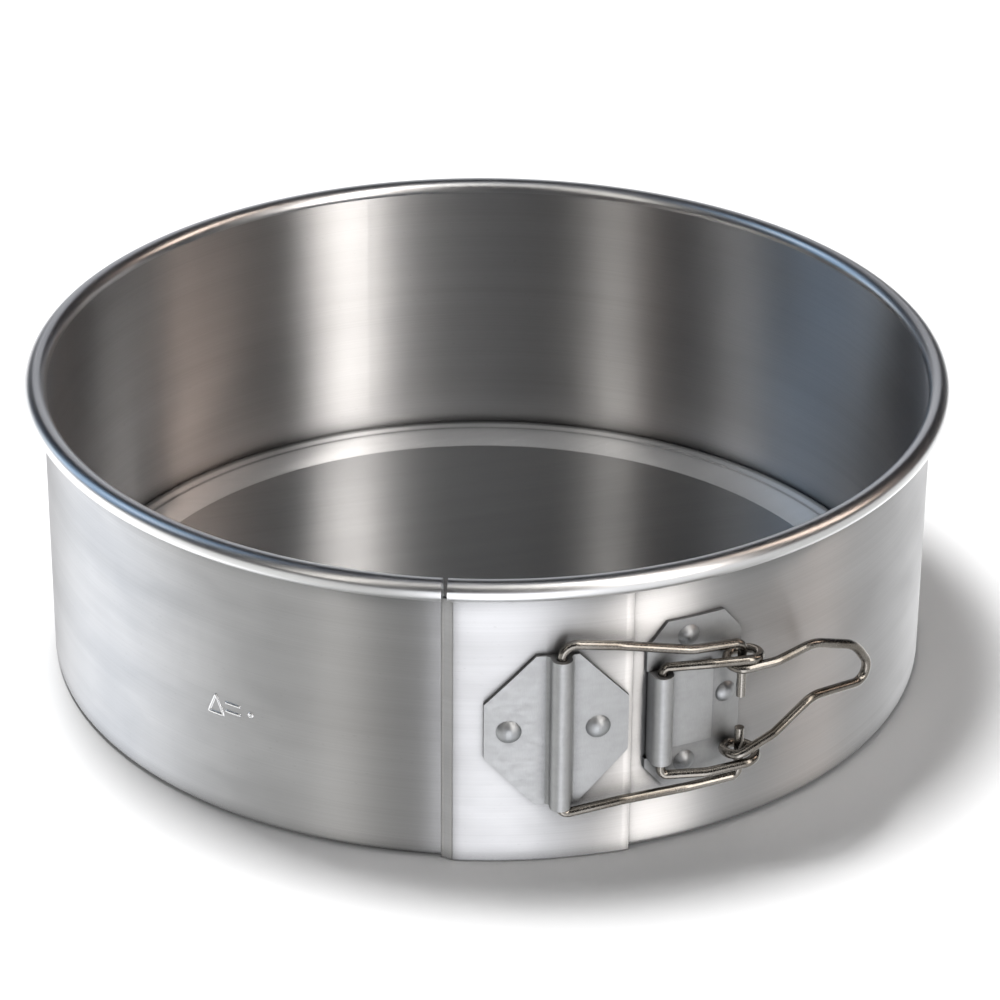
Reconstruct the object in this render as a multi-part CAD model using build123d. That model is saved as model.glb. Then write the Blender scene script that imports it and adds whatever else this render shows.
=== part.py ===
from build123d import *
import math
import os

# Springform pan, closed and latched, in millimetres.
# The origin is on the pan's axis, in the plane that it stands on. +Z is up.
# A ring angle is counted in degrees round the pan from -Y, the free edge of the
# overlap, and is positive towards +X.

# ---- band ----
INNER_RADIUS = 101.6            # 8 inch pan
HEIGHT = 70.0
SHEET = 0.8
OUTER_RADIUS = INNER_RADIUS + SHEET
BEAD_RADIUS = 2.5               # hollow rolled bead round the top edge
BEAD_MOUTH = 38.0               # degrees of the roll left open, under the bead
CORNER_RADIUS = 1.6             # outside corner where the wall turns in
LIP_WIDTH = 3.0                 # hemmed lip that carries the base
LIP_THICKNESS = 1.5

# ---- overlap ----
LAP_GAP = 0.15                  # between the tongue and the wall under it
TONGUE_INNER = OUTER_RADIUS + LAP_GAP
TONGUE_OUTER = TONGUE_INNER + SHEET
TONGUE_TOP = HEIGHT - 2 * BEAD_RADIUS - 0.3
JOGGLE_START = -22.9            # ring angles
JOGGLE_END = -21.4
LEFT_BEAD_END = -22.65
RIGHT_BEAD_END = -22.0
RIGHT_WALL_END = -21.2
BACK_GAP = 0.02                 # degrees, where the two halves of the band meet

# ---- base ----
BASE_RADIUS = INNER_RADIUS - 0.4
BASE_SHEET = 0.8
LEDGE_INNER = 98.4
FLOOR_RADIUS = 90.0
LEDGE_BOTTOM = LIP_THICKNESS + 0.1

# ---- latch ----
WIRE_RADIUS = 1.05
BORE_RADIUS = WIRE_RADIUS + 0.08
PLATE = 1.0                     # bracket sheet
RIVET_SHANK = 1.3
RIVET_HEAD_HEIGHT = 1.3

KEEPER_ANGLE = -9.2             # middle of the keeper's plate
KEEPER_Z = 33.2
KEEPER_HALF_WIDTH = 15.6
KEEPER_HALF_HEIGHT = 18.3
KEEPER_SIDE_HALF = 6.6          # half of each straight side
KEEPER_TOP_HALF = 4.6           # half of the straight top and bottom
KEEPER_KNUCKLE_ANGLE = -8.9
KEEPER_KNUCKLE_RADIUS = 2.3
KEEPER_STANDOFF = 2.6           # wire's centre above the tongue
KEEPER_RIVET_ANGLES = (-14.9, -4.3)
KEEPER_RIVET_HEAD = 2.75

BRACKET_ANGLE = 8.0             # middle of the lever bracket's plate
BRACKET_Z = 35.2
BRACKET_HALF_WIDTH = 11.3
BRACKET_HALF_HEIGHT = 20.4
BRACKET_CHAMFER = 4.6
LEVER_KNUCKLE_ANGLE = 3.3
LEVER_KNUCKLE_RADIUS = 2.35
LEVER_STANDOFF = 3.1            # wire's centre above the wall
LEVER_KNUCKLE_Z = (22.6, 44.3)
LEAF_END_ANGLE = 10.2           # free edge of the rolled leaf
LEAF_Z = (24.9, 44.3)
BRACKET_RIVETS = {"top": (7.0, 51.4), "right": (12.3, 35.0), "bottom": (6.9, 20.2)}
BRACKET_RIVET_HEAD = 2.5

EYE_CENTRE = (24.06, -105.49)
EYE_RADIUS = 3.5                # of the coil's centre line
EYE_PITCH = 2.4
TOP_EYE_Z = 46.9                # where each lever arm enters its eye
BOTTOM_EYE_Z = 21.1
PIN_OFFSET = -0.2               # the bail's pins stand left of the eyes' centres


def ring_point(angle, radius):
    """Plan position at a ring angle and a distance from the axis."""
    turn = math.radians(angle)
    return radius * math.sin(turn), -radius * math.cos(turn)


def at_angle(shape, angle):
    """Turn a shape that was drawn at ring angle 0 round the pan."""
    return Rot(0, 0, angle) * shape


def ring_sector(profile, start, end):
    """Revolve an X-Z profile from one ring angle to another."""
    return Rot(0, 0, start - 90) * revolve(profile, Axis.Z, end - start)


def shell_sector(inner, outer, start, end, low, high):
    """A curved plate between two radii, two ring angles and two heights."""
    middle = (inner + outer) / 2
    section = Plane.XZ * Pos(middle, (low + high) / 2) * Rectangle(outer - inner, high - low)
    return ring_sector(section, start, end)


def plan_box(left, right, inner, outer, low, high):
    """A block at ring angle 0: left and right across it, inner and outer from the axis."""
    size = (right - left, outer - inner, high - low)
    return Pos((left + right) / 2, -(inner + outer) / 2, (low + high) / 2) * Box(*size)


def upright(radius, out, low, high):
    """A vertical cylinder at ring angle 0."""
    return Pos(0, -out, (low + high) / 2) * Cylinder(radius, high - low)


# ---- band halves ----

def wall_profile(bottom, with_lip):
    """Wall section from the given height up to the middle of the bead."""
    top = HEIGHT - BEAD_RADIUS
    middle = (INNER_RADIUS + OUTER_RADIUS) / 2
    section = Pos(middle, (bottom + top) / 2) * Rectangle(SHEET, top - bottom)
    if with_lip:
        reach = LIP_WIDTH + SHEET
        section += Pos(OUTER_RADIUS - reach / 2, LIP_THICKNESS / 2) * Rectangle(reach, LIP_THICKNESS)
        by_place = section.vertices().sort_by(lambda v: (v.X - OUTER_RADIUS) ** 2 + v.Y ** 2)
        section = fillet(by_place[0], CORNER_RADIUS)
        by_place = section.vertices().sort_by(
            lambda v: (v.X - INNER_RADIUS) ** 2 + (v.Y - LIP_THICKNESS) ** 2)
        section = fillet(by_place[0], 0.7)
    return Plane.XZ * section


def bead_profile():
    """Rolled bead section: a curl that starts at the wall and stops short of it below."""
    centre = (INNER_RADIUS + BEAD_RADIUS, HEIGHT - BEAD_RADIUS)
    curl = Circle(BEAD_RADIUS) - Circle(BEAD_RADIUS - SHEET)
    reach = 2 * BEAD_RADIUS
    low = math.radians(180 + BEAD_MOUTH)
    mouth = Polygon((0, 0), (-reach, 0), (-reach, -reach),
                    (reach * math.cos(low), reach * math.sin(low)), align=None)
    return Plane.XZ * Pos(*centre) * (curl - mouth)


def joggle():
    """Step that carries the left wall outwards by one sheet into the tongue."""
    steps = 8
    inner_edge = []
    outer_edge = []
    for i in range(steps + 1):
        part_way = i / steps
        rise = (1 - math.cos(math.pi * part_way)) / 2
        angle = JOGGLE_START + part_way * (JOGGLE_END - JOGGLE_START)
        radius = INNER_RADIUS + rise * (TONGUE_INNER - INNER_RADIUS)
        inner_edge.append(ring_point(angle, radius))
        outer_edge.append(ring_point(angle, radius + SHEET))
    outline = Polyline(*inner_edge, *reversed(outer_edge), close=True)
    return extrude(make_face(outline), TONGUE_TOP)


def band_left():
    whole = ring_sector(wall_profile(0, True), -180 + BACK_GAP, JOGGLE_START)
    bead = ring_sector(bead_profile(), -180 + BACK_GAP, LEFT_BEAD_END)
    under_bead = shell_sector(INNER_RADIUS, OUTER_RADIUS, JOGGLE_START, LEFT_BEAD_END,
                              TONGUE_TOP, HEIGHT - BEAD_RADIUS)
    tongue = shell_sector(TONGUE_INNER, TONGUE_OUTER, JOGGLE_END, 0, 0, TONGUE_TOP)
    body = whole + bead + under_bead + joggle() + tongue
    for angle in KEEPER_RIVET_ANGLES:
        body -= rivet_hole(angle, KEEPER_Z)
    return body


def band_right():
    low_wall = ring_sector(wall_profile(0, True), RIGHT_WALL_END, 180)
    bead = ring_sector(bead_profile(), RIGHT_BEAD_END, 180)
    under_bead = shell_sector(INNER_RADIUS, OUTER_RADIUS, RIGHT_BEAD_END, RIGHT_WALL_END,
                              TONGUE_TOP + 0.3, HEIGHT - BEAD_RADIUS)
    body = low_wall + bead + under_bead
    for angle, height in BRACKET_RIVETS.values():
        body -= rivet_hole(angle, height)
    return body


# ---- base ----

def base_disc():
    """Loose base: a ledge that sits on the lip, a slope, and a floor level with the lip's foot."""
    ledge_top = LEDGE_BOTTOM + BASE_SHEET
    outline = Polyline(
        (0, 0), (FLOOR_RADIUS, 0), (LEDGE_INNER, LEDGE_BOTTOM), (BASE_RADIUS, LEDGE_BOTTOM),
        (BASE_RADIUS, ledge_top), (LEDGE_INNER, ledge_top), (FLOOR_RADIUS, BASE_SHEET),
        (0, BASE_SHEET), close=True)
    return revolve(Plane.XZ * make_face(outline), Axis.Z, 360)


# ---- rivets ----

def rivet_hole(angle, height):
    hole = Pos(0, -OUTER_RADIUS, height) * Rot(90, 0, 0) * Cylinder(RIVET_SHANK, 12)
    return at_angle(hole, angle)


def rivet(angle, height, tail, seat, head_radius):
    """Dome-headed rivet from its flush tail to its seat on a bracket."""
    sphere_radius = (head_radius ** 2 + RIVET_HEAD_HEIGHT ** 2) / (2 * RIVET_HEAD_HEIGHT)
    dome = Pos(0, 0, RIVET_HEAD_HEIGHT - sphere_radius) * Sphere(sphere_radius)
    dome &= Pos(0, 0, RIVET_HEAD_HEIGHT / 2) * Box(9, 9, RIVET_HEAD_HEIGHT)
    shank = Pos(0, 0, (tail - seat) / 2) * Cylinder(RIVET_SHANK, seat - tail)
    standing = Pos(0, -seat, height) * Rot(90, 0, 0) * (dome + shank)
    return at_angle(standing, angle)


# ---- brackets ----

def chamfered_outline(half_width, half_height, straight_x, straight_y):
    """Octagon with straight sides of half length straight_y and straight ends of straight_x."""
    corners = [
        (straight_x, half_height), (half_width, straight_y),
        (half_width, -straight_y), (straight_x, -half_height),
        (-straight_x, -half_height), (-half_width, -straight_y),
        (-half_width, straight_y), (-straight_x, half_height)]
    return make_face(Polyline(*corners, close=True))


def curved_plate(outline, seat, angle, height):
    """Bend a flat outline to the wall: a shell cut to the outline's shape."""
    prism = extrude(Plane.XZ * Pos(0, height) * outline, seat + 20)
    shell = shell_sector(seat, seat + PLATE, -15, 15, 0, HEIGHT)
    return at_angle(shell & prism, angle)


def flare(half_width, low_out, size, low, high):
    """Concave bends where a plate rises on both sides into a knuckle."""
    block = plan_box(-half_width - size, half_width + size, low_out, low_out + size, low, high)
    for side in (-1, 1):
        scoop = upright(size, low_out + size, low - 1, high + 1)
        block -= Pos(side * (half_width + size), 0, 0) * scoop
    return block


def keeper_bracket():
    outline = chamfered_outline(KEEPER_HALF_WIDTH, KEEPER_HALF_HEIGHT,
                                KEEPER_TOP_HALF, KEEPER_SIDE_HALF)
    plate = curved_plate(outline, TONGUE_OUTER, KEEPER_ANGLE, KEEPER_Z)
    low = KEEPER_Z - KEEPER_HALF_HEIGHT
    high = KEEPER_Z + KEEPER_HALF_HEIGHT
    centre = TONGUE_OUTER + KEEPER_STANDOFF
    seat = TONGUE_OUTER + PLATE - 0.15
    knuckle = upright(KEEPER_KNUCKLE_RADIUS, centre, low, high)
    knuckle += flare(KEEPER_KNUCKLE_RADIUS - 0.15, seat, 1.5, low, high)
    body = plate + at_angle(knuckle, KEEPER_KNUCKLE_ANGLE)
    bore = upright(BORE_RADIUS, centre, low - 1, high + 1)
    pinch = plan_box(-0.15, 0.15, TONGUE_OUTER - 1, centre, low - 1, high + 1)
    body -= at_angle(bore + pinch, KEEPER_KNUCKLE_ANGLE)
    for angle in KEEPER_RIVET_ANGLES:
        body -= rivet_hole(angle, KEEPER_Z)
    return body


def lever_bracket():
    straight_x = BRACKET_HALF_WIDTH - BRACKET_CHAMFER
    straight_y = BRACKET_HALF_HEIGHT - 1.2 * BRACKET_CHAMFER
    outline = chamfered_outline(BRACKET_HALF_WIDTH, BRACKET_HALF_HEIGHT, straight_x, straight_y)
    body = curved_plate(outline, OUTER_RADIUS, BRACKET_ANGLE, BRACKET_Z)

    low, high = LEVER_KNUCKLE_Z
    centre = OUTER_RADIUS + LEVER_STANDOFF
    notch = plan_box(-9, -LEVER_KNUCKLE_RADIUS + 0.1, OUTER_RADIUS - 1, OUTER_RADIUS + 2, low, high)
    body -= at_angle(notch, LEVER_KNUCKLE_ANGLE)

    leaf = shell_sector(OUTER_RADIUS + PLATE, OUTER_RADIUS + 2 * PLATE,
                        LEVER_KNUCKLE_ANGLE, LEAF_END_ANGLE, *LEAF_Z)
    knuckle = upright(LEVER_KNUCKLE_RADIUS, centre, low, high)
    leg = plan_box(-LEVER_KNUCKLE_RADIUS, -LEVER_KNUCKLE_RADIUS + PLATE + 0.2,
                   OUTER_RADIUS + 0.3, centre, low, high)
    bend = plan_box(0, LEVER_KNUCKLE_RADIUS + 0.9, OUTER_RADIUS + 2 * PLATE - 0.2,
                    OUTER_RADIUS + 2 * PLATE + 0.9, *LEAF_Z)
    bend -= Pos(LEVER_KNUCKLE_RADIUS + 1.0, 0, 0) * upright(
        1.1, OUTER_RADIUS + 2 * PLATE + 1.1, low, high)
    body += leaf + at_angle(knuckle + leg + bend, LEVER_KNUCKLE_ANGLE)

    bore = upright(BORE_RADIUS, centre, low - 1, high + 1)
    body -= at_angle(bore, LEVER_KNUCKLE_ANGLE)
    for angle, height in BRACKET_RIVETS.values():
        body -= rivet_hole(angle, height)
    return body


# ---- wires ----

def bent_wire(points, radii):
    """Round wire along straight runs joined by tangent arcs."""
    path = FilletPolyline(*points, radius=radii)
    section = Plane(origin=path @ 0, z_dir=path % 0) * Circle(WIRE_RADIUS)
    return sweep(section, path=path)


def eye_points(start_z, climb):
    """Corners of one full turn round an eye, from its outer side and back to it."""
    reach = EYE_RADIUS / math.cos(math.radians(22.5))
    points = []
    for i in range(8):
        turn = math.radians(-67.5 + 45 * i)
        x = EYE_CENTRE[0] + reach * math.cos(turn)
        y = EYE_CENTRE[1] + reach * math.sin(turn)
        points.append((x, y, start_z + climb * (i + 0.5) / 8))
    return points


def bail_wire():
    """U of wire held by the keeper, with its two ends turned in as pins through the eyes."""
    hinge = ring_point(KEEPER_KNUCKLE_ANGLE, TONGUE_OUTER + KEEPER_STANDOFF)
    pin = (EYE_CENTRE[0] + PIN_OFFSET, EYE_CENTRE[1])
    points = [
        (*pin, 36.2), (*pin, 49.3), (12.0, -106.6, 50.1), (-4.0, -106.2, 53.6),
        (*hinge, 55.1), (*hinge, 12.9),
        (-3.0, -106.2, 15.1), (12.0, -106.6, 15.9), (*pin, 16.2), (*pin, 28.2)]
    return bent_wire(points, [1.8, 12, 12, 3.0, 1.9, 12, 12, 1.8])


def lever_wire():
    """One wire: hinge run, two arms, an eye in each, and the loop that is the handle.

    Its two ends meet inside the knuckle.
    """
    hinge = ring_point(LEVER_KNUCKLE_ANGLE, OUTER_RADIUS + LEVER_STANDOFF)
    front = EYE_CENTRE[1] - EYE_RADIUS
    top_eye = eye_points(TOP_EYE_Z, -EYE_PITCH)
    bottom_eye = eye_points(BOTTOM_EYE_Z, EYE_PITCH)
    top_out = TOP_EYE_Z - EYE_PITCH
    bottom_out = BOTTOM_EYE_Z + EYE_PITCH
    points = [(*hinge, 33.1), (*hinge, 46.0), (16.0, front + 1.1, 46.7), *top_eye,
              (30.5, front + 0.1, top_out + 0.9), (39.6, -106.8, 47.3), (51.4, -101.7, 42.0),
              (56.1, -99.4, 35.0), (53.4, -100.6, 31.7), (40.0, -106.6, 33.9),
              (30.5, front + 0.1, bottom_out + 4.0),
              *reversed(bottom_eye),
              (16.0, front + 1.1, 19.7), (*hinge, 19.2), (*hinge, 32.9)]
    eye_arc = EYE_RADIUS - 0.35
    radii = [1.4, 9, *[eye_arc] * 8, 8, 8, 11, 3.6, 3.2, 6, 4, *[eye_arc] * 8, 9, 1.6]
    return bent_wire(points, radii)


def main():
    nodes = {
        "band_left": band_left(),
        "band_right": band_right(),
        "base_disc": base_disc(),
        "keeper_bracket": keeper_bracket(),
        "lever_bracket": lever_bracket(),
        "bail_wire": bail_wire(),
        "lever_wire": lever_wire(),
    }
    for side, angle in zip(("left", "right"), KEEPER_RIVET_ANGLES):
        nodes["keeper_rivet_" + side] = rivet(
            angle, KEEPER_Z, TONGUE_INNER, TONGUE_OUTER + PLATE, KEEPER_RIVET_HEAD)
    for side, (angle, height) in BRACKET_RIVETS.items():
        nodes["bracket_rivet_" + side] = rivet(
            angle, height, INNER_RADIUS, OUTER_RADIUS + PLATE, BRACKET_RIVET_HEAD)
    os.makedirs("parts", exist_ok=True)
    for name, shape in nodes.items():
        export_step(shape, f"parts/{name}.step")


main()
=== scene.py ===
import math

import bmesh
import bpy
from mathutils import Matrix, Vector

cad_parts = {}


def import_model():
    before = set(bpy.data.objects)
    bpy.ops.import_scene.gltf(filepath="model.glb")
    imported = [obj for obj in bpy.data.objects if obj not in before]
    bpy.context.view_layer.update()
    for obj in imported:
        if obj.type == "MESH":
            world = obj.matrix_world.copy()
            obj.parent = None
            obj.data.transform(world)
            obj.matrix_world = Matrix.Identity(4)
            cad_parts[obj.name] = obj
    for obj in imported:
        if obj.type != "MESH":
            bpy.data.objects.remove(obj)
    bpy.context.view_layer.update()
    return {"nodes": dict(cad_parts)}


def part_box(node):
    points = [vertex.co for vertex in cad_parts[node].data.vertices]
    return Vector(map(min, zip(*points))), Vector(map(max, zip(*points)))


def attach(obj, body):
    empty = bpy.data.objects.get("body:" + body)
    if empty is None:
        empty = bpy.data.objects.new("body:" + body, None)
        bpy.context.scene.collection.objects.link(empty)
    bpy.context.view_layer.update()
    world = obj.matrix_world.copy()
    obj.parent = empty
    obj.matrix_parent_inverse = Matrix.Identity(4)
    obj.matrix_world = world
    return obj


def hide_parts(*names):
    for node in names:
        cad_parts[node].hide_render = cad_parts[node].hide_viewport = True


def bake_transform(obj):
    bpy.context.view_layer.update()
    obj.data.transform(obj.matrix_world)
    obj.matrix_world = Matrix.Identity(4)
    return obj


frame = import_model()
nodes = frame["nodes"]

# Metres. A ring angle is in degrees round the pan from -Y, positive towards +X, as in the CAD.
MM = 0.001
CAMERA_TURN = -17.6              # ring angle that the camera looks from
PAN_MIDDLE = 30 * MM             # height that the lamp is aimed at

# ---- band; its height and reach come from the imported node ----
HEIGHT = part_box("band_right")[1].z
BEAD_RADIUS = 2.5 * MM
BEAD_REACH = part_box("band_right")[1].x
SHEET = 0.8 * MM
INNER_RADIUS = BEAD_REACH - 2 * BEAD_RADIUS
OUTER_RADIUS = INNER_RADIUS + SHEET
BEAD_CENTRE = (INNER_RADIUS + BEAD_RADIUS, HEIGHT - BEAD_RADIUS)
BEAD_END = -142.0                # where the roll stops, under the bead
CORNER_RADIUS = 1.6 * MM
LIP_INNER = OUTER_RADIUS - 3.8 * MM
LIP_THICKNESS = 1.5 * MM
FOOT_FILLET = 0.7 * MM
TONGUE_INNER = OUTER_RADIUS + 0.15 * MM
TONGUE_TOP = HEIGHT - 2 * BEAD_RADIUS - 0.3 * MM
JOGGLE_START, JOGGLE_END = -22.9, -21.4
LEFT_BEAD_END, RIGHT_BEAD_END, RIGHT_WALL_END = -22.65, -22.0, -21.2
TONGUE_END_ROUND = 0.06          # degrees over which the tongue's free edge is eased
TONGUE_CUT = 0.12 * MM           # cut corners of the tongue's section
RING_STEP, JOGGLE_STEP = 1.0, 0.1    # degrees between the sections of a swept ring
SHADING_GUARD = 0.2 * MM         # a point this close to each end of a run holds its shading flat

# ---- base ----
BASE_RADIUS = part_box("base_disc")[1].x
BASE_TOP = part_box("base_disc")[1].z
BASE_SHEET = 0.8 * MM
LEDGE_INNER, FLOOR_RADIUS = 98.4 * MM, 90.0 * MM
SHOULDER = 97.0 * MM             # top of the slope
SHOULDER_DROP, VALLEY_DEPTH = 0.1 * MM, 0.4 * MM    # below the ledge
EDGE_RADIUS = 0.35 * MM
CENTRE_HOLE = 0.4 * MM           # radius of the small face that closes the middle of the disc
BASE_STEP = 2.0                  # degrees

# ---- stamped marks ----
MARKS_ANGLE, MARKS_Z, MARKS_STEP = -49.9, 27.6 * MM, 4.6 * MM
MARK_TALL, MARK_WIDE = 2.3 * MM, 2.0 * MM
STROKE_RADIUS, STROKE_STAND = 0.42 * MM, 0.2 * MM
STROKE_SIDES, STROKE_STEP = 12, 0.5 * MM


# ---------------------------------------------------------------- geometry helpers

def arc(centre, radius, start, end, steps):
    """Points round part of a circle in the section plane, angles in degrees."""
    points = []
    for i in range(steps + 1):
        turn = math.radians(start + (end - start) * i / steps)
        points.append((centre[0] + radius * math.cos(turn), centre[1] + radius * math.sin(turn)))
    return points


def line(start, end, middle=3):
    """Points inside a straight run, with one close to each end to hold the shading flat."""
    guard = SHADING_GUARD / math.dist(start, end)
    shares = [guard, *[(i + 1) / (middle + 1) for i in range(middle)], 1 - guard]
    return [(start[0] + s * (end[0] - start[0]), start[1] + s * (end[1] - start[1])) for s in shares]


def ring_place(angle, radius, z):
    """The point at a ring angle, a distance from the axis and a height."""
    turn = math.radians(angle)
    return (radius * math.sin(turn), -radius * math.cos(turn), z)


def angles_between(start, end, step=RING_STEP):
    count = max(1, round((end - start) / step))
    return [start + (end - start) * i / count for i in range(count + 1)]


def sweep_ring(bm, sections, caps=(True, True), turns=0):
    """Skin a row of (ring angle, closed section) with quads.

    u runs round the ring, from a number of whole turns on, and v along the section.
    """
    uv = bm.loops.layers.uv.verify()
    rows, along = [], []
    for angle, section in sections:
        rows.append([bm.verts.new(ring_place(angle, r, z)) for r, z in section])
        travelled = [0.0]
        for a, b in zip(section, section[1:] + section[:1]):
            travelled.append(travelled[-1] + math.dist(a, b))
        along.append(travelled)
    count = len(rows[0])
    for i in range(len(rows) - 1):
        u0, u1 = (math.radians(sections[k][0] + 360 * turns) * OUTER_RADIUS for k in (i, i + 1))
        for j in range(count):
            k = (j + 1) % count
            face = bm.faces.new((rows[i][j], rows[i][k], rows[i + 1][k], rows[i + 1][j]))
            face.smooth = True
            corners = ((u0, along[i][j]), (u0, along[i][j + 1]),
                       (u1, along[i + 1][j + 1]), (u1, along[i + 1][j]))
            for loop, corner in zip(face.loops, corners):
                loop[uv].uv = corner
    for wanted, row in zip(caps, (rows[0], rows[-1])):
        if wanted:
            cap = bm.faces.new(row)
            for edge in cap.edges:
                edge.smooth = False
    return rows


def finish_mesh(name, bm, materials):
    bmesh.ops.recalc_face_normals(bm, faces=bm.faces)
    mesh = bpy.data.meshes.new(name)
    bm.to_mesh(mesh)
    bm.free()
    for material in materials:
        mesh.materials.append(material)
    obj = bpy.data.objects.new(name, mesh)
    bpy.context.scene.collection.objects.link(obj)
    return obj


# ---------------------------------------------------------------- node helpers

def shader(name):
    """A new material with one Principled shader: (material, nodes, links, shader node)."""
    material = bpy.data.materials.new(name)
    material.use_nodes = True
    tree = material.node_tree
    return material, tree.nodes, tree.links, tree.nodes["Principled BSDF"]


def stretched(tree_nodes, links, source, scale):
    """Coordinates stretched by a scale along each axis."""
    mapping = tree_nodes.new("ShaderNodeMapping")
    mapping.inputs["Scale"].default_value = scale
    links.new(source, mapping.inputs["Vector"])
    return mapping.outputs["Vector"]


def noise(tree_nodes, links, vector, scale, detail=2.0, rough=0.5):
    texture = tree_nodes.new("ShaderNodeTexNoise")
    texture.inputs["Scale"].default_value = scale
    texture.inputs["Detail"].default_value = detail
    texture.inputs["Roughness"].default_value = rough
    links.new(vector, texture.inputs["Vector"])
    return texture.outputs["Fac"]


def remap(tree_nodes, links, value, low, high, to_low, to_high):
    node = tree_nodes.new("ShaderNodeMapRange")
    for key, number in (("From Min", low), ("From Max", high), ("To Min", to_low), ("To Max", to_high)):
        node.inputs[key].default_value = number
    links.new(value, node.inputs["Value"])
    return node.outputs["Result"]


def combine(tree_nodes, links, operation, a, b):
    node = tree_nodes.new("ShaderNodeMath")
    node.operation = operation
    for socket, value in zip(node.inputs, (a, b)):
        if isinstance(value, (int, float)):
            socket.default_value = value
        else:
            links.new(value, socket)
    return node.outputs[0]


def mix_colour(tree_nodes, links, share, first, second):
    node = tree_nodes.new("ShaderNodeMix")
    node.data_type = "RGBA"
    links.new(share, node.inputs["Factor"])
    node.inputs["A"].default_value = (*first, 1)
    node.inputs["B"].default_value = (*second, 1)
    return node.outputs["Result"]


def paint_gap_shade(tree_nodes, links, colour, distance, deepest):
    """The colour, darkened where another surface stands within a distance: painted contact shade."""
    gap = tree_nodes.new("ShaderNodeAmbientOcclusion")
    gap.samples = 6
    gap.inputs["Distance"].default_value = distance
    share = remap(tree_nodes, links, gap.outputs["AO"], 0.35, 0.92, deepest, 1.0)
    node = tree_nodes.new("ShaderNodeMix")
    node.data_type = "RGBA"
    node.blend_type = "MULTIPLY"
    node.inputs["Factor"].default_value = 1.0
    links.new(colour, node.inputs["A"])
    links.new(share, node.inputs["B"])
    return node.outputs["Result"]


def bump(tree_nodes, links, height, distance, strength=1.0):
    node = tree_nodes.new("ShaderNodeBump")
    node.inputs["Strength"].default_value = strength
    node.inputs["Distance"].default_value = distance
    links.new(height, node.inputs["Height"])
    return node.outputs["Normal"]


# ---------------------------------------------------------------- materials

def rolled_aluminium(name, pale, dark, roughness, line_depth, anisotropy=0.0, deepest=1.0, metallic=1.0):
    """Rolled sheet: fine lines along the rolling direction (u), faint clouds, specks and waviness.

    deepest is how far the colour is darkened by painted shade in a gap, and 1 leaves the gaps as they are.
    """
    material, n, l, principled = shader(name)
    uv = n.new("ShaderNodeUVMap").outputs["UV"]
    lines = noise(n, l, stretched(n, l, uv, (9, 2600, 1)), 1.0, 3.0, 0.6)
    bands = noise(n, l, stretched(n, l, uv, (3, 160, 1)), 1.0, 2.0, 0.5)
    cloud = noise(n, l, stretched(n, l, uv, (28, 60, 1)), 1.0, 4.0, 0.6)
    specks = noise(n, l, stretched(n, l, uv, (700, 1400, 1)), 1.0, 1.0, 0.5)
    speck = remap(n, l, specks, 0.69, 0.74, 0.0, 1.0)
    tone = combine(n, l, "ADD", combine(n, l, "MULTIPLY", lines, 0.55),
                   combine(n, l, "MULTIPLY", bands, 0.45))
    tone = remap(n, l, tone, 0.35, 0.65, 0.0, 1.0)
    tone = combine(n, l, "MAXIMUM", tone, speck)
    colour = mix_colour(n, l, tone, pale, dark)
    # Painted shade: the colour is darkened in gaps and beside other parts.
    if deepest < 1.0:
        colour = paint_gap_shade(n, l, colour, 5 * MM, deepest)
    l.new(colour, principled.inputs["Base Color"])
    rough = remap(n, l, cloud, 0.3, 0.7, roughness - 0.03, roughness + 0.04)
    l.new(rough, principled.inputs["Roughness"])
    principled.inputs["Metallic"].default_value = metallic
    principled.inputs["Anisotropic"].default_value = anisotropy
    principled.inputs["Anisotropic Rotation"].default_value = 0.25
    tangent = n.new("ShaderNodeTangent")
    tangent.direction_type = "UV_MAP"
    l.new(tangent.outputs["Tangent"], principled.inputs["Tangent"])
    wave = noise(n, l, stretched(n, l, uv, (55, 14, 1)), 1.0, 1.0, 0.4)
    height = combine(n, l, "ADD", combine(n, l, "MULTIPLY", lines, line_depth),
                     combine(n, l, "MULTIPLY", wave, 0.6 * line_depth))
    l.new(bump(n, l, height, 0.00005), principled.inputs["Normal"])
    return material


def satin_steel(name, pale, dark, roughness):
    """Stamped sheet steel: mottled grey with a fine grain and small handling marks."""
    material, n, l, principled = shader(name)
    place = n.new("ShaderNodeTexCoord").outputs["Object"]
    mottle = noise(n, l, place, 260, 4.0, 0.65)
    grain = noise(n, l, stretched(n, l, place, (1, 1, 0.16)), 5200, 2.0, 0.6)
    mark = noise(n, l, stretched(n, l, place, (0.4, 1, 1)), 900, 2.0, 0.5)
    tone = combine(n, l, "ADD", combine(n, l, "MULTIPLY", mottle, 0.6),
                   combine(n, l, "MULTIPLY", grain, 0.4))
    tone = remap(n, l, tone, 0.36, 0.64, 0.0, 1.0)
    # Painted shade: the colour is darkened in gaps and beside other parts.
    colour = paint_gap_shade(n, l, mix_colour(n, l, tone, pale, dark), 3.0 * MM, 0.18)
    l.new(colour, principled.inputs["Base Color"])
    rough = remap(n, l, mark, 0.3, 0.7, roughness - 0.05, roughness + 0.05)
    l.new(rough, principled.inputs["Roughness"])
    principled.inputs["Metallic"].default_value = 1.0
    l.new(bump(n, l, grain, 0.00002), principled.inputs["Normal"])
    return material


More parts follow.
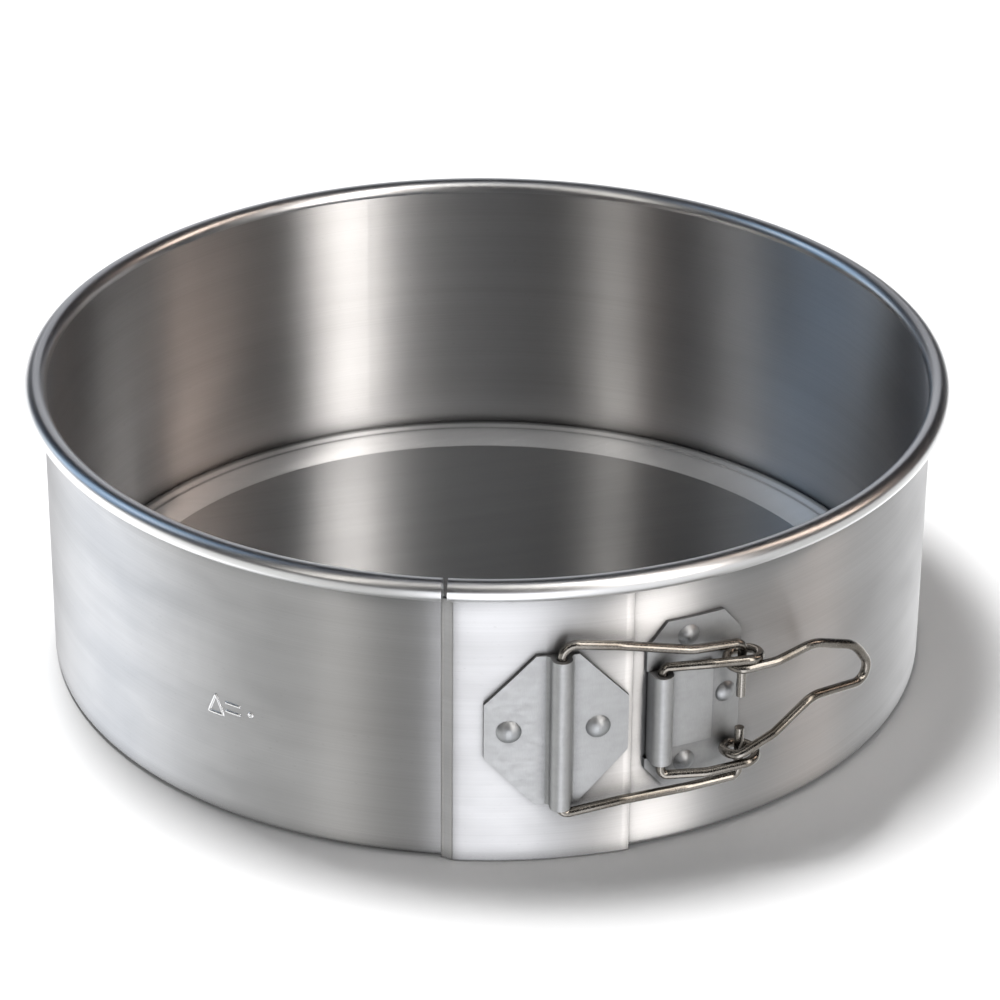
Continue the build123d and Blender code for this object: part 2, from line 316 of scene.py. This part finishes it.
def drawn_wire(name, pale, tint, roughness):
    """Stainless wire with drawing lines, a little brown heat tint and worn spots."""
    material, n, l, principled = shader(name)
    place = n.new("ShaderNodeTexCoord").outputs["Object"]
    tinting = noise(n, l, place, 95, 3.0, 0.55)
    grain = noise(n, l, place, 3400, 2.0, 0.6)
    tone = remap(n, l, tinting, 0.36, 0.66, 0.0, 1.0)
    # Painted shade: the colour is darkened in gaps and beside other parts.
    colour = paint_gap_shade(n, l, mix_colour(n, l, tone, pale, tint), 2.0 * MM, 0.25)
    l.new(colour, principled.inputs["Base Color"])
    rough = remap(n, l, grain, 0.3, 0.7, roughness - 0.03, roughness + 0.05)
    l.new(rough, principled.inputs["Roughness"])
    principled.inputs["Metallic"].default_value = 1.0
    l.new(bump(n, l, grain, 0.000006), principled.inputs["Normal"])
    return material


WALL = rolled_aluminium("wall_aluminium", (0.63, 0.63, 0.637), (0.57, 0.57, 0.575), roughness=0.40,
                        line_depth=0.5, anisotropy=1.0, deepest=0.12)
BEAD = rolled_aluminium("bead_aluminium", (0.74, 0.743, 0.75), (0.70, 0.703, 0.71), roughness=0.31,
                        line_depth=0.01)
BASE = rolled_aluminium("base_aluminium", (0.52, 0.525, 0.53), (0.47, 0.475, 0.48), roughness=0.21,
                        line_depth=0.25, metallic=0.97)
# The rim is the same aluminium as the floor of the base, coloured far lighter: a painted highlight on the
# slope and ledge.
BASE_RIM_PAINTED_LIGHT = rolled_aluminium("base_rim_painted_highlight", (0.95, 0.955, 0.96), (0.86, 0.865, 0.87), roughness=0.20,
                            line_depth=0.10, deepest=0.2, metallic=0.88)
BRACKET = satin_steel("bracket_steel", (0.42, 0.425, 0.43), (0.38, 0.385, 0.39), roughness=0.52)
RIVET = satin_steel("rivet_steel", (0.42, 0.43, 0.44), (0.37, 0.38, 0.39), roughness=0.48)
WIRE = drawn_wire("stainless_wire", (0.28, 0.264, 0.243), (0.165, 0.147, 0.125), roughness=0.24)


# ---------------------------------------------------------------- band

def band_section(low):
    """Closed section of a band half; low 0 has the corner and lip, otherwise the wall is cut off there."""
    bead = arc(BEAD_CENTRE, BEAD_RADIUS - SHEET, 180, BEAD_END, 28)
    bead += arc(BEAD_CENTRE, BEAD_RADIUS, BEAD_END, 180, 36)
    if low:
        inner = line((INNER_RADIUS, BEAD_CENTRE[1]), (INNER_RADIUS, low), middle=0) + [(INNER_RADIUS, low)]
        outer = [(OUTER_RADIUS, low)] + line((OUTER_RADIUS, low), (OUTER_RADIUS, BEAD_CENTRE[1]), middle=0)
        return inner + outer + bead
    hem = LIP_THICKNESS / 2
    foot = INNER_RADIUS - FOOT_FILLET, LIP_THICKNESS + FOOT_FILLET
    corner = OUTER_RADIUS - CORNER_RADIUS, CORNER_RADIUS
    points = line((INNER_RADIUS, BEAD_CENTRE[1]), (INNER_RADIUS, foot[1]))
    points += arc(foot, FOOT_FILLET, 0, -90, 6)
    points += arc((LIP_INNER + hem, hem), hem, 90, 270, 10)
    points += line((LIP_INNER + hem, 0), (corner[0], 0), middle=0)
    points += arc(corner, CORNER_RADIUS, -90, 0, 10)
    points += line((OUTER_RADIUS, corner[1]), (OUTER_RADIUS, BEAD_CENTRE[1]))
    return points + bead


def tongue_section(inner, inset=0.0):
    """Closed section of the tongue, its corners cut by a hair and its outline drawn in by an inset."""
    outer, cut = inner + SHEET - inset, TONGUE_CUT
    inner, low, top = inner + inset, inset, TONGUE_TOP - inset
    points = [(inner + cut, low), (outer - cut, low), (outer, low + cut)]
    points += line((outer, low + cut), (outer, top - cut))
    points += [(outer, top - cut), (outer - cut, top), (inner + cut, top), (inner, top - cut)]
    points += line((inner, top - cut), (inner, low + cut))
    return points + [(inner, low + cut)]


def band_left():
    bm = bmesh.new()
    whole = band_section(0)
    sweep_ring(bm, [(a, whole) for a in angles_between(-180, JOGGLE_START)], (False, True), 1)
    upper = band_section(TONGUE_TOP)
    sweep_ring(bm, [(a, upper) for a in angles_between(JOGGLE_START, LEFT_BEAD_END)], (False, True), 1)
    sections = []
    for angle in angles_between(JOGGLE_START, JOGGLE_END, JOGGLE_STEP):
        part_way = (angle - JOGGLE_START) / (JOGGLE_END - JOGGLE_START)
        rise = (1 - math.cos(math.pi * part_way)) / 2
        sections.append((angle, tongue_section(INNER_RADIUS + rise * (TONGUE_INNER - INNER_RADIUS))))
    tongue = tongue_section(TONGUE_INNER)
    sections += [(a, tongue) for a in angles_between(JOGGLE_END, -TONGUE_END_ROUND)[1:]]
    sections.append((0.0, tongue_section(TONGUE_INNER, 0.1 * MM)))
    sweep_ring(bm, sections, (False, True), 1)
    obj = finish_mesh("band_left_shell", bm, [WALL, BEAD])
    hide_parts("band_left")
    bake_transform(obj)
    return obj


def band_right():
    bm = bmesh.new()
    whole = band_section(0)
    sweep_ring(bm, [(a, whole) for a in angles_between(RIGHT_WALL_END, 180)], (True, False))
    upper = band_section(TONGUE_TOP + 0.3 * MM)
    sweep_ring(bm, [(a, upper) for a in angles_between(RIGHT_BEAD_END, RIGHT_WALL_END)], (True, False))
    obj = finish_mesh("band_right_shell", bm, [WALL, BEAD])
    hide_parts("band_right")
    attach(obj, "right_half")
    return obj


def bead_slots(obj):
    """Give the faces of the roll the bead's material; the rest keeps the wall's."""
    for face in obj.data.polygons:
        centre = face.center
        radius = math.hypot(centre.x, centre.y)
        if math.dist((radius, centre.z), BEAD_CENTRE) < BEAD_RADIUS + 0.05 * MM:
            face.material_index = 1


# ---------------------------------------------------------------- base

def eased_run(start, end, steps=6):
    """Points of a run that starts and ends level, without its first point."""
    points = []
    for i in range(1, steps + 1):
        rise = (1 - math.cos(math.pi * i / steps)) / 2
        points.append((start[0] + i / steps * (end[0] - start[0]), start[1] + rise * (end[1] - start[1])))
    return points


def base_disc():
    """Loose base: floor, convex slope and ledge, with a shallow valley between the last two."""
    ledge_bottom = BASE_TOP - BASE_SHEET
    shoulder_z, valley_z = BASE_TOP - SHOULDER_DROP, BASE_TOP - VALLEY_DEPTH
    crest = BASE_RADIUS - 1.3 * MM
    top = [(r, BASE_SHEET) for r in (CENTRE_HOLE, 30 * MM, 60 * MM, FLOOR_RADIUS - 2 * MM,
                                     FLOOR_RADIUS - 0.3 * MM)]
    steps, foot, foot_rise = 14, FLOOR_RADIUS + 0.2 * MM, 0.02
    for i in range(steps + 1):
        share = i / steps
        rise = foot_rise + (1 - foot_rise) * math.sin(math.pi / 2 * share)
        top.append((foot + share * (SHOULDER - foot), BASE_SHEET + rise * (shoulder_z - BASE_SHEET)))
    top += eased_run((SHOULDER, shoulder_z), (LEDGE_INNER, valley_z))
    top += eased_run((LEDGE_INNER, valley_z), (crest, BASE_TOP))
    top.append((BASE_RADIUS - EDGE_RADIUS, BASE_TOP))
    edge = arc((BASE_RADIUS - EDGE_RADIUS, BASE_TOP - EDGE_RADIUS), EDGE_RADIUS, 90, 0, 5)[1:]
    under = [(BASE_RADIUS, ledge_bottom + 0.1 * MM), (BASE_RADIUS - 0.1 * MM, ledge_bottom),
             (LEDGE_INNER, ledge_bottom), (FLOOR_RADIUS, 0.0), (CENTRE_HOLE, 0.0)]
    profile = top + edge + under
    bm = bmesh.new()
    uv = bm.loops.layers.uv.verify()
    angles = angles_between(0, 360, BASE_STEP)[:-1]
    rows = [[bm.verts.new(ring_place(a, r, z)) for r, z in profile] for a in angles]
    for i, row in enumerate(rows):
        following = rows[(i + 1) % len(rows)]
        for j in range(len(profile) - 1):
            bm.faces.new((row[j], row[j + 1], following[j + 1], following[j]))
    bm.faces.new([row[0] for row in rows])
    bm.faces.new([row[-1] for row in rows])
    for face in bm.faces:
        face.smooth = True
        centre = face.calc_center_median()
        # Faces beyond the floor take the rim's lighter colour, a painted highlight.
        face.material_index = int(math.hypot(centre.x, centre.y) > FLOOR_RADIUS)
        for loop in face.loops:
            loop[uv].uv = (loop.vert.co.x, loop.vert.co.y)
    obj = finish_mesh("base_shell", bm, [BASE, BASE_RIM_PAINTED_LIGHT])
    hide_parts("base_disc")
    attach(obj, "base")
    return obj


# ---------------------------------------------------------------- stamped marks

def stroke_path(outline, closed):
    """Points at even steps along an outline."""
    path = []
    ends = outline[1:] + outline[:1] if closed else outline[1:]
    for a, b in zip(outline, ends):
        pieces = max(1, round(math.dist(a, b) / STROKE_STEP))
        path += [(a[0] + (b[0] - a[0]) * k / pieces, a[1] + (b[1] - a[1]) * k / pieces)
                 for k in range(pieces)]
    return path if closed else path + [outline[-1]]


def stroke_ring(bm, here, before, after):
    """Vertices round a stroke at one point of its path, laid on the outside of the wall."""
    length = math.dist(before, after)
    side = ((before[1] - after[1]) / length, (after[0] - before[0]) / length)
    ring = []
    for k in range(STROKE_SIDES):
        turn = 2 * math.pi * k / STROKE_SIDES
        across = STROKE_RADIUS * math.cos(turn)
        out = STROKE_RADIUS * math.sin(turn) + STROKE_STAND - STROKE_RADIUS
        angle = MARKS_ANGLE + math.degrees((here[0] + across * side[0]) / OUTER_RADIUS)
        height = MARKS_Z + here[1] + across * side[1]
        ring.append(bm.verts.new(ring_place(angle, OUTER_RADIUS + out, height)))
    return ring


def stroke(bm, outline, closed):
    """A low rounded ridge along an outline."""
    path = stroke_path(outline, closed)
    befores = path[-1:] + path[:-1] if closed else path[:1] + path[:-1]
    afters = path[1:] + path[:1] if closed else path[1:] + path[-1:]
    rings = [stroke_ring(bm, *points) for points in zip(path, befores, afters)]
    for ring, following in zip(rings, rings[1:] + rings[:1] if closed else rings[1:]):
        for k in range(STROKE_SIDES):
            j = (k + 1) % STROKE_SIDES
            bm.faces.new((ring[k], ring[j], following[j], following[k])).smooth = True
    if not closed:
        bm.faces.new(rings[0])
        bm.faces.new(rings[-1])


def stamp_marks():
    """Plain marks low on the left wall: a triangle, two bars and a dot."""
    tall, wide = MARK_TALL, MARK_WIDE
    dot = [(MARKS_STEP + 0.22 * wide * math.cos(math.pi * i / 3), 0.22 * wide * math.sin(math.pi * i / 3))
           for i in range(6)]
    bm = bmesh.new()
    stroke(bm, [(-MARKS_STEP - wide, -tall), (-MARKS_STEP + wide, -tall), (-MARKS_STEP, tall)], True)
    for height in (-0.4 * tall, 0.5 * tall):
        stroke(bm, [(-wide, height), (wide, height)], False)
    stroke(bm, dot, True)
    obj = finish_mesh("stamp_marks", bm, [BEAD])
    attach(obj, "left_half")


# ---------------------------------------------------------------- CAD nodes that keep their shape

def dress_cad_nodes():
    looks = {"keeper_bracket": BRACKET, "lever_bracket": BRACKET, "bail_wire": WIRE, "lever_wire": WIRE}
    for name, obj in nodes.items():
        material = looks.get(name, RIVET if "rivet" in name else None)
        if material:
            obj.data.materials.clear()
            obj.data.materials.append(material)


# ---------------------------------------------------------------- studio

def smooth(x):
    x = min(1.0, max(0.0, x))
    return x * x * (3 - 2 * x)


def panel(value, low, high, soft_low, soft_high):
    """1 between two angles, fading out over a soft edge on each side."""
    return smooth((value - low) / soft_low + 0.5) * smooth((high - value) / soft_high + 0.5)


# Soft panels of the painted studio. Azimuths are in degrees from the side that the main camera looks
# from, positive to its right. The panels below the horizon light the outside of the pan, and those
# above it the inside.
# LOWER: azimuth from and to, the width of its soft edge at each end, colour.
# UPPER: the same, with the elevation from and to before the colour.
LOWER = [
    (-10.5, 20, 2, 30, (2.42, 2.44, 2.54)),
    (32, 58, 10, 20, (0.62, 0.62, 0.64)),
    (60, 200, 50, 20, (0.30, 0.30, 0.30)),
    (124, 176, 50, 14, (0.92, 0.92, 0.93)),
    (-172, -90, 20, 50, (0.76, 0.76, 0.775)),
    (-132, -88, 40, 60, (0.84, 0.84, 0.85)),
    (-100, -34, 40, 34, (0.48, 0.48, 0.47)),
]
UPPER = [
    (33, 49.5, 3, 3, 4, 75, (6.8, 6.45, 6.1)),
    (-42, -33, 8, 8, 20, 70, (3.3, 3.15, 2.95)),
    (91, 98, 4, 4, 22, 58, (6.2, 4.9, 4.1)),
    (-122, -94, 4, 20, 10, 60, (0.30, 0.50, 0.76)),
    (-110, -86, 8, 10, 32, 44, (1.1, 1.2, 1.3)),
    (-130, -112, 8, 8, 4, 16, (1.1, 1.2, 1.3)),
    (168, 202, 12, 12, 6, 38, (0.50, 0.51, 0.54)),
    (146, 214, 12, 12, -12, 8, (0.42, 0.43, 0.45)),
    (-22, 62, 16, 20, 50, 82, (0.75, 0.74, 0.72)),
]
LOWER_BASE = (0.45, 0.45, 0.44)
UPPER_BASE = (0.015, 0.015, 0.018)
ZENITH = (0.36, 0.37, 0.40)
ZENITH_FROM, ZENITH_SOFT = 72, 12        # elevation where the zenith's colour starts, and its soft edge
NADIR_SHADE, NADIR_FROM, NADIR_SOFT = 0.12, -84, 34
HORIZON_SOFT = 8
PANEL_SOFT_BOTTOM, PANEL_SOFT_TOP = 8, 20
DOME_COLUMNS, DOME_ROWS, DOME_RADIUS = 360, 120, 3.0
FLOOR_REACH, FLOOR_Z = 4.0, -0.1 * MM    # just under the base, so that the two never share a plane


def studio_light(azimuth, elevation):
    """Colour of the studio seen by a reflection in one direction."""
    below = list(LOWER_BASE)
    above = list(UPPER_BASE)
    for low, high, soft_low, soft_high, colour in LOWER:
        share = panel(azimuth, low, high, soft_low, soft_high)
        below = [b + share * c for b, c in zip(below, colour)]
    for low, high, soft_low, soft_high, bottom, top, colour in UPPER:
        share = max(panel(azimuth + turn, low, high, soft_low, soft_high) for turn in (-360, 0, 360))
        share *= panel(elevation, bottom, top, PANEL_SOFT_BOTTOM, PANEL_SOFT_TOP)
        above = [a + share * c for a, c in zip(above, colour)]
    shaded = NADIR_SHADE + (1 - NADIR_SHADE) * smooth((elevation - NADIR_FROM) / NADIR_SOFT)
    below = [b * shaded for b in below]
    high_up = smooth((elevation - ZENITH_FROM) / ZENITH_SOFT)
    above = [a + high_up * (z - a) for a, z in zip(above, ZENITH)]
    split = smooth(elevation / HORIZON_SOFT + 0.5)
    return [b + split * (a - b) for a, b in zip(above, below)]


def reflection_dome():
    """A painted studio round the pan that only reflections see."""
    bm = bmesh.new()
    colours = bm.verts.layers.float_color.new("studio")
    grid = []
    for i in range(DOME_ROWS + 1):
        elevation = -90 + 180 * i / DOME_ROWS
        height = DOME_RADIUS * math.sin(math.radians(elevation))
        flat = DOME_RADIUS * math.cos(math.radians(elevation))
        row = []
        for j in range(DOME_COLUMNS):
            azimuth = -180 + 360 * j / DOME_COLUMNS
            vert = bm.verts.new(ring_place(azimuth + CAMERA_TURN, flat, height))
            vert[colours] = (*studio_light(azimuth, elevation), 1)
            row.append(vert)
        grid.append(row)
    for low, high in zip(grid, grid[1:]):
        for j in range(DOME_COLUMNS):
            k = (j + 1) % DOME_COLUMNS
            bm.faces.new((low[j], low[k], high[k], high[j]))
    material = bpy.data.materials.new("studio_panels")
    material.use_nodes = True
    tree = material.node_tree
    tree.nodes.clear()
    paint = tree.nodes.new("ShaderNodeAttribute")
    paint.attribute_name = "studio"
    glow = tree.nodes.new("ShaderNodeEmission")
    output = tree.nodes.new("ShaderNodeOutputMaterial")
    tree.links.new(paint.outputs["Color"], glow.inputs["Color"])
    tree.links.new(glow.outputs["Emission"], output.inputs["Surface"])
    material.cycles.emission_sampling = "NONE"
    mesh = bpy.data.meshes.new("reflection_dome")
    bm.to_mesh(mesh)
    bm.free()
    mesh.materials.append(material)
    dome = bpy.data.objects.new("reflection_dome", mesh)
    bpy.context.scene.collection.objects.link(dome)
    for kind in ("camera", "diffuse", "shadow", "transmission"):
        setattr(dome, "visible_" + kind, False)


def floor():
    """Plain pale floor, which reflections don't see."""
    bm = bmesh.new()
    corners = ((-1, -1), (1, -1), (1, 1), (-1, 1))
    bm.faces.new([bm.verts.new((x * FLOOR_REACH, y * FLOOR_REACH, FLOOR_Z)) for x, y in corners])
    material, n, l, principled = shader("studio_floor")
    place = n.new("ShaderNodeTexCoord").outputs["Object"]
    tone = noise(n, l, place, 6, 2.0, 0.5)
    l.new(mix_colour(n, l, tone, (0.90, 0.90, 0.90), (0.88, 0.88, 0.885)), principled.inputs["Base Color"])
    principled.inputs["Roughness"].default_value = 0.9
    principled.inputs["Specular IOR Level"].default_value = 0.1
    ground = finish_mesh("studio_floor", bm, [material])
    ground.visible_glossy = False


def area_light(name, azimuth, elevation, distance, size, power):
    """A square soft light aimed at the pan, which reflections don't see."""
    data = bpy.data.lights.new(name, "AREA")
    data.shape = "SQUARE"
    data.size = size
    data.energy = power
    lamp = bpy.data.objects.new(name, data)
    bpy.context.scene.collection.objects.link(lamp)
    flat = distance * math.cos(math.radians(elevation))
    place = Vector(ring_place(azimuth + CAMERA_TURN, flat, distance * math.sin(math.radians(elevation))))
    lamp.location = place
    lamp.rotation_euler = (Vector((0, 0, PAN_MIDDLE)) - place).to_track_quat("-Z", "Y").to_euler()
    lamp.visible_glossy = False
    lamp.visible_camera = False


def world(strength):
    """Even white light on the floor and in the shadow, which reflections don't see."""
    background = bpy.data.worlds.new("studio")
    background.use_nodes = True
    sky = background.node_tree.nodes["Background"]
    sky.inputs["Color"].default_value = (1, 1, 1, 1)
    sky.inputs["Strength"].default_value = strength
    bpy.context.scene.world = background
    background.cycles_visibility.glossy = False


def camera():
    """Just under a metre away, a little left of the latch, looking down over the rim."""
    place = Vector((-0.2483, -0.7828, 0.4734))
    target = Vector((0, 0, 0.038))
    roll = math.radians(0.376)
    ahead = (target - place).normalized()
    right = ahead.cross(Vector((0, 0, 1))).normalized()
    up = right.cross(ahead)
    tilted_right = math.cos(roll) * right + math.sin(roll) * up
    tilted_up = math.cos(roll) * up - math.sin(roll) * right
    data = bpy.data.cameras.new("camera")
    data.sensor_width = 36.0
    data.lens = 142.54
    data.shift_x = 0.0130
    data.shift_y = -0.0182
    data.clip_start = 0.01
    obj = bpy.data.objects.new("camera", data)
    turn = Matrix((tilted_right, tilted_up, -ahead)).transposed()
    obj.matrix_world = Matrix.Translation(place) @ turn.to_4x4()
    bpy.context.scene.collection.objects.link(obj)
    bpy.context.scene.camera = obj


for shell in (band_left(), band_right()):
    bead_slots(shell)
base_disc()
stamp_marks()
dress_cad_nodes()
reflection_dome()
floor()
area_light("key_light", azimuth=-132, elevation=76, distance=1.6, size=0.42, power=27)
world(strength=0.34)
camera()
bpy.context.scene.view_settings.view_transform = "Standard"
